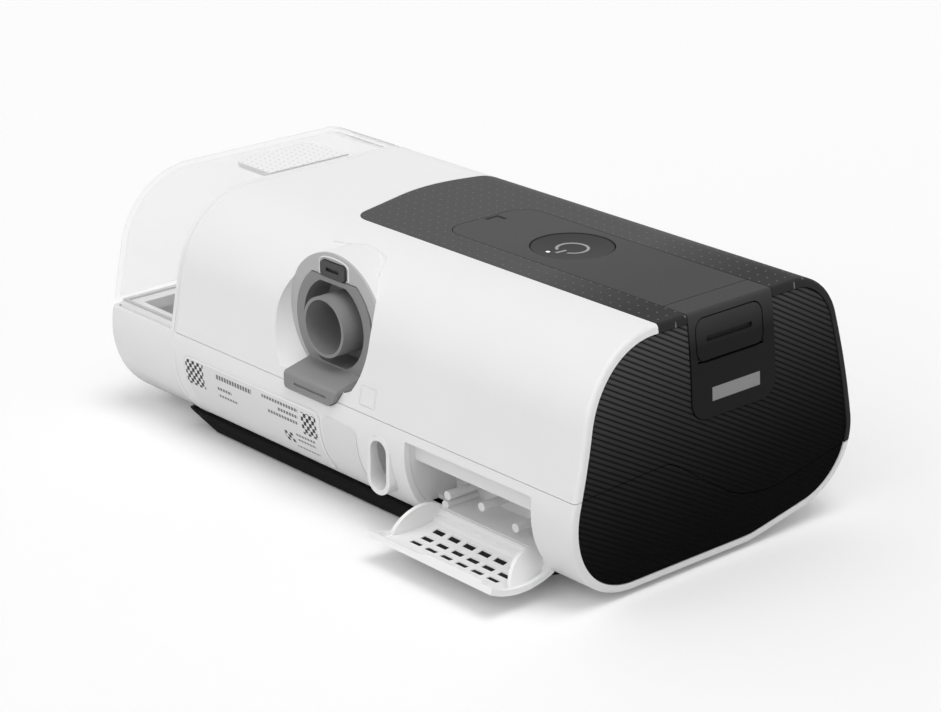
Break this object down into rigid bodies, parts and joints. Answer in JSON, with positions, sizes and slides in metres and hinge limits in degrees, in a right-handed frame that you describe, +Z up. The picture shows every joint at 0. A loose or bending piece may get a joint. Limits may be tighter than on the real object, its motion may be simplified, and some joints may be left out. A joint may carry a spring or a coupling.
{
  "type": "positive airway pressure machine",
  "caption": "Bedside breathing machine that blows humidified air: white housing with dark top, clear docked water tub, side air outlet and open filter door.",
  "frame": {"origin": "on the base plane under the middle of the body", "axes": "+X along the body toward the ribbed end and away from the water tub, -Y toward the side with the air outlet and filter door, +Z up"},
  "size_m": [0.2594, 0.1546, 0.0945],
  "materials": {
    "housing_white": "fine satin moulded white",
    "panel_grey": "textured dark grey with fine dots",
    "strip_grey": "smooth satin dark grey",
    "end_black": "ribbed near-black",
    "glass_black": "glossy black touch face",
    "screen_dark": "unlit screen module",
    "plate_grey": "light grey satin",
    "connector_grey": "mid grey satin",
    "duct_grey": "plain moulded grey",
    "door_white": "satin white",
    "chamber_white": "plain moulded white",
    "steel_pin": "plain steel",
    "foam_grey": "open-cell foam",
    "bezel_white": "satin white",
    "socket_grey": "light grey satin",
    "contact_brass": "plain brass",
    "label_white": "printed label film",
    "foot_black": "matt black",
    "rubber_black": "soft black rubber",
    "tub_clear": "clear polycarbonate",
    "tub_white": "white moulding",
    "seal_clear": "translucent silicone",
    "grip_clear": "frosted grey with a field of dots",
    "plate_steel": "stainless sheet",
    "heater_aluminium": "plain aluminium",
    "button_grey": "satin dark grey",
    "symbol_white": "white light-guide plastic",
    "board_green": "printed circuit board",
    "switch_black": "matt black",
    "chassis_grey": "plain moulded grey",
    "volute_white": "plain moulded white",
    "bearing_steel": "ground steel",
    "stator_iron": "wound iron core",
    "impeller_white": "plain moulded white"
  },
  "bodies": {
    "housing": {"base_foot": "foot_black", "bay_liner": "duct_grey", "bay_seals": "rubber_black", "bearings": "bearing_steel", "blower_duct": "duct_grey", "blower_mount": "rubber_black", "board_screws": "steel_pin", "button_switch": "switch_black", "card_socket": "duct_grey", "chassis": "chassis_grey", "chassis_screws": "steel_pin", "control_strip": "strip_grey", "display_glass": "glass_black", "display_module": "screen_dark", "door_hinge_pins": "steel_pin", "end_panel_lower": "end_black", "end_panel_upper": "end_black", "end_tab": "strip_grey", "filter_chamber": "chamber_white", "flow_sensor": "switch_black", "heater_springs": "steel_pin", "inlet_bezel": "bezel_white", "inlet_foam": "foam_grey", "label_plate": "label_white", "lower_housing": "housing_white", "main_board": "board_green", "motor_stator": "stator_iron", "outlet_duct": "duct_grey", "outlet_plate": "plate_grey", "power_socket": "socket_grey", "rating_plate": "label_white", "rubber_feet": "rubber_black", "socket_contacts": "contact_brass", "switch_board": "board_green", "top_panel": "panel_grey", "upper_housing": "housing_white", "volute_lower": "volute_white", "volute_upper": "volute_white"},
    "button": {"start_button": "button_grey", "button_symbol": "symbol_white", "button_light": "symbol_white"},
    "cover": {"card_cover": "strip_grey"},
    "connector": {"outlet_connector": "connector_grey"},
    "clip": {"outlet_clip": "connector_grey"},
    "door": {"filter_door": "door_white"},
    "heater": {"heater_plate": "heater_aluminium"},
    "tub": {"tub_base": "tub_clear", "tub_plate": "plate_steel", "tub_hinge_pin": "steel_pin", "tub_frame": "tub_white", "tub_seal": "seal_clear"},
    "lid": {"tub_lid": "tub_clear"},
    "grip": {"tub_grip": "grip_clear"},
    "rotor": {"rotor_shaft": "steel_pin", "impeller": "impeller_white"}
  },
  "joints": [
    {"name": "filter_door_hinge", "type": "hinge", "parent": "housing", "child": "door", "pos_m": [0.078, -0.05607, 0.0124], "axis": [1, 0, 0], "range_deg": [-70.7, 0]},
    {"name": "start_button_press", "type": "slide", "parent": "housing", "child": "button", "axis": [0, 0, -1], "range_m": [0, 0.0008], "stiffness_N_per_m": 1500},
    {"name": "tub_slide", "type": "slide", "parent": "housing", "child": "tub", "axis": [-1, 0, 0], "range_m": [0, 0.06]},
    {"name": "tub_lid_hinge", "type": "hinge", "parent": "tub", "child": "lid", "pos_m": [-0.1279, 0, 0.046], "axis": [0, -1, 0], "range_deg": [0, 95]},
    {"name": "grip_press", "type": "slide", "parent": "lid", "child": "grip", "axis": [0, 0, -1], "range_m": [0, 0.0012], "stiffness_N_per_m": 1500},
    {"name": "card_cover_hinge", "type": "hinge", "parent": "housing", "child": "cover", "pos_m": [0.12736, 0.00555, 0.07775], "axis": [0, 1, 0], "range_deg": [0, 90]},
    {"name": "outlet_connector_pull", "type": "slide", "parent": "housing", "child": "connector", "axis": [0, -1, 0], "range_m": [0, 0.02]},
    {"name": "outlet_clip_press", "type": "slide", "parent": "housing", "child": "clip", "axis": [0, 1, 0], "range_m": [0, 0.0008], "stiffness_N_per_m": 1500},
    {"name": "impeller_spin", "type": "hinge", "parent": "housing", "child": "rotor", "pos_m": [0.076, 0.007, 0.03], "axis": [0, 0, 1], "continuous": true},
    {"name": "heater_press", "type": "slide", "parent": "housing", "child": "heater", "axis": [0, 0, -1], "range_m": [0, 0.0008], "stiffness_N_per_m": 2500, "deforming": ["heater_springs"]}
  ]
}
